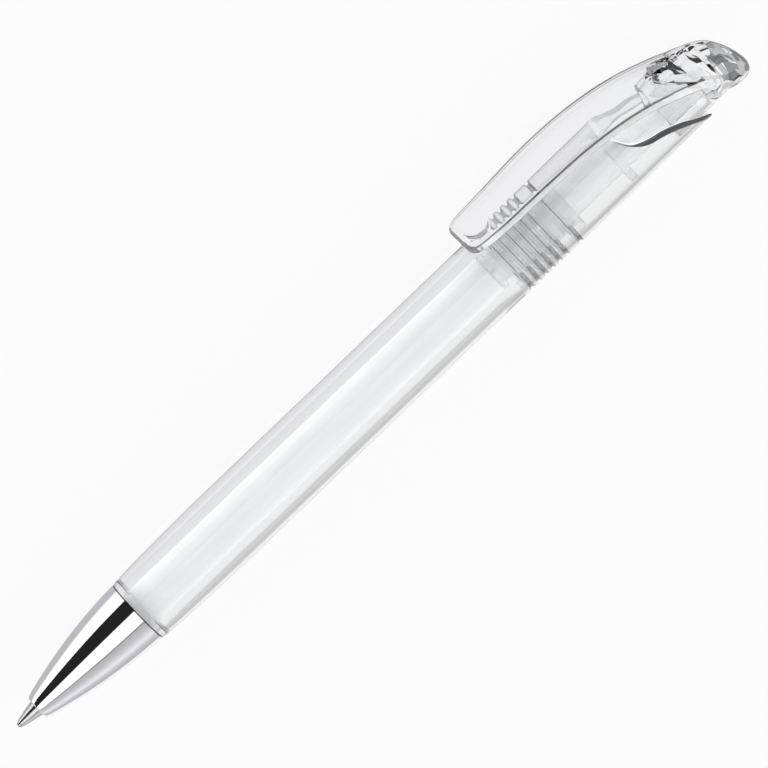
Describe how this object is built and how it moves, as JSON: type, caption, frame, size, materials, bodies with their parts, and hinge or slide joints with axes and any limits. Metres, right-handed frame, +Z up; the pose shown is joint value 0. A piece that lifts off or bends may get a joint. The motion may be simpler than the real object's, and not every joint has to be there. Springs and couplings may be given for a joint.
{
  "type": "retractable ballpoint pen",
  "caption": "Clear push-action ballpoint pen with a chrome nose, a wide arched clip moulded into the push head, a slanted barrel mouth and a white refill.",
  "frame": {"origin": "centre of the footprint on the table, with the pen lying on the flat of its barrel and on the corner of its clip", "axes": "+X runs along the pen to its writing tip, the clip faces -Y, +Z is up"},
  "size_m": [0.1432, 0.0156, 0.0116],
  "materials": {
    "chrome": "mirror plated",
    "clear_plastic": "clear and polished",
    "milky_plastic": "translucent",
    "white_plastic": "smooth",
    "point_metal": "turned and polished",
    "spring_steel": "drawn wire",
    "ink": "liquid",
    "grease": "clear grease"
  },
  "bodies": {
    "barrel_body": {"barrel": "clear_plastic", "cam_sleeve": "milky_plastic"},
    "push_head": {"push_clip": "clear_plastic", "push_stem": "milky_plastic"},
    "refill": {"refill_tube": "white_plastic", "refill_front": "white_plastic", "refill_plug": "milky_plastic", "point_holder": "point_metal", "ink_column": "ink", "ink_follower": "grease"},
    "cam_rotor": {"rotor": "milky_plastic"},
    "ball": {"writing_ball": "point_metal"},
    "nose_spring": {"return_spring": "spring_steel"},
    "nose": {"nose_cone": "chrome"}
  },
  "joints": [
    {"name": "click", "type": "slide", "parent": "barrel_body", "child": "push_head", "axis": [1, 0, 0], "range_m": [-0.0048, 0.0012]},
    {"name": "refill_slide", "type": "slide", "parent": "barrel_body", "child": "refill", "axis": [1, 0, 0], "range_m": [-0.0048, 0.0012], "deforming": ["return_spring"]},
    {"name": "rotor_turn", "type": "hinge", "parent": "refill", "child": "cam_rotor", "pos_m": [-0.0294, 0.002, 0.00581], "axis": [1, 0, 0], "continuous": true},
    {"name": "ball_roll", "type": "hinge", "parent": "refill", "child": "ball", "pos_m": [0.0711, 0.002, 0.00581], "axis": [0, 1, 0], "continuous": true},
    {"name": "nose_advance", "type": "slide", "parent": "barrel_body", "child": "nose_spring", "axis": [1, 0, 0], "range_m": [0, 0.00625]},
    {"name": "nose_turn", "type": "hinge", "parent": "nose_spring", "child": "nose", "pos_m": [0.0574, 0.002, 0.00581], "axis": [1, 0, 0], "range_deg": [0, 1801]}
  ],
  "couplings": [
    {"joint": "refill_slide", "follows": "click", "ratio": 1},
    {"joint": "nose_turn", "follows": "nose_advance", "rad_per_m": 5026.5}
  ]
}
